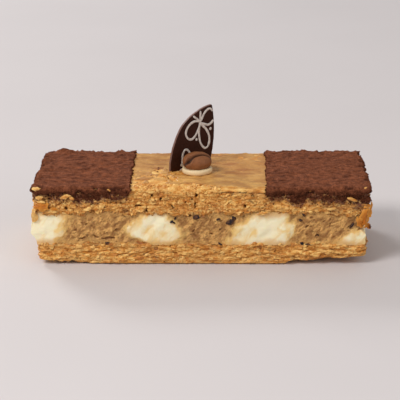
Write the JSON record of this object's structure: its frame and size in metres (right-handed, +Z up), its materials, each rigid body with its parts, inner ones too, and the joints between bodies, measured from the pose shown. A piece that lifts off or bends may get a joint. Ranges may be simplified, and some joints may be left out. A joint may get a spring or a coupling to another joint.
{
  "type": "mille feuille slice",
  "caption": "Long slice of flaky puff pastry sheets with bars of vanilla and coffee cream, cocoa-dusted ends, and a chocolate leaf, disc and bean on top.",
  "frame": {"origin": "middle of the whole slice's footprint, on the flat underside", "axes": "+X along the slice, +Y from its front cut face to its back, +Z up"},
  "size_m": [0.1168, 0.0452, 0.0496],
  "materials": {
    "puff_pastry": "flaky golden baked layers",
    "vanilla_cream": "smooth satin cream",
    "coffee_cream": "matte mousse with small pits",
    "dark_chocolate": "satin dark chocolate with a pale printed flourish",
    "white_chocolate": "satin white chocolate",
    "milk_chocolate": "satin milk chocolate",
    "cocoa_powder": "dusted cocoa on the two ends of the top",
    "coffee_glaze": "thin satin coffee glaze on the middle of the top",
    "pale_print": "printed flourish on the chocolate leaf"
  },
  "bodies": {
    "root": {"base_pastry": "puff_pastry", "top_pastry": "puff_pastry", "vanilla_cream_1": "vanilla_cream", "vanilla_cream_2": "vanilla_cream", "vanilla_cream_3": "vanilla_cream", "vanilla_cream_4": "vanilla_cream", "coffee_cream_1": "coffee_cream", "coffee_cream_2": "coffee_cream", "coffee_cream_3": "coffee_cream", "chocolate_leaf": "dark_chocolate", "white_chocolate_disc": "white_chocolate", "coffee_bean": "milk_chocolate"}
  },
  "joints": []
}
